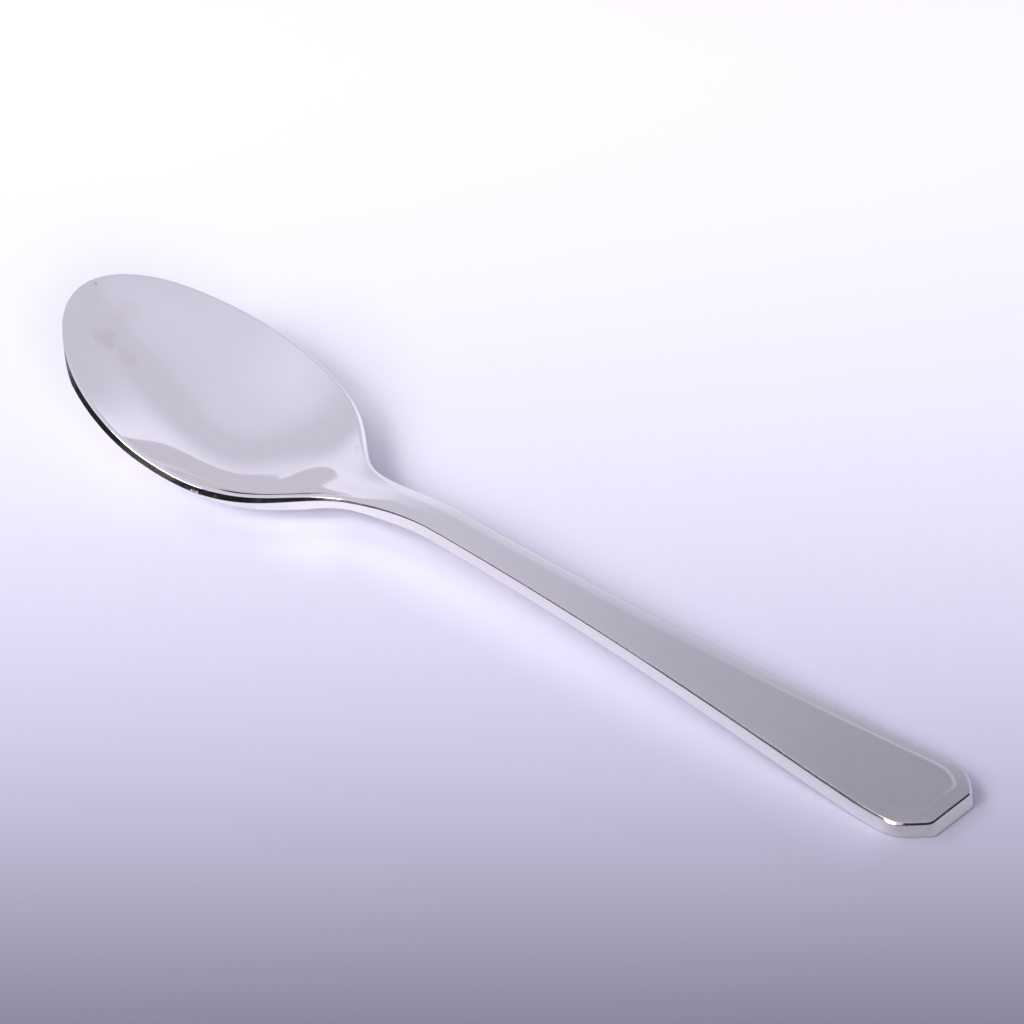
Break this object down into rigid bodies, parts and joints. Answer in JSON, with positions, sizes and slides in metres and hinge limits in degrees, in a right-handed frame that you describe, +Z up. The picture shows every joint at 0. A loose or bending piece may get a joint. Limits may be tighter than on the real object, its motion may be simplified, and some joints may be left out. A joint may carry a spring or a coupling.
{
  "type": "teaspoon",
  "caption": "Polished silver-plated teaspoon with an egg-shaped bowl, slim neck and flared handle with a bevelled border and clipped-corner end.",
  "frame": {"origin": "bottom centre of the bounding box, on the table under the middle of the spoon", "axes": "+X runs along the spoon from the bowl tip to the handle end, +Z is up out of the bowl"},
  "size_m": [0.14, 0.0306, 0.0157],
  "materials": {
    "nickel_silver": "bright nickel silver, seen only where the plate is worn through underneath",
    "silver": "polished silver plate with faint wear"
  },
  "bodies": {
    "root": {"base_metal_blank": "nickel_silver", "silver_plate": "silver"}
  },
  "joints": []
}
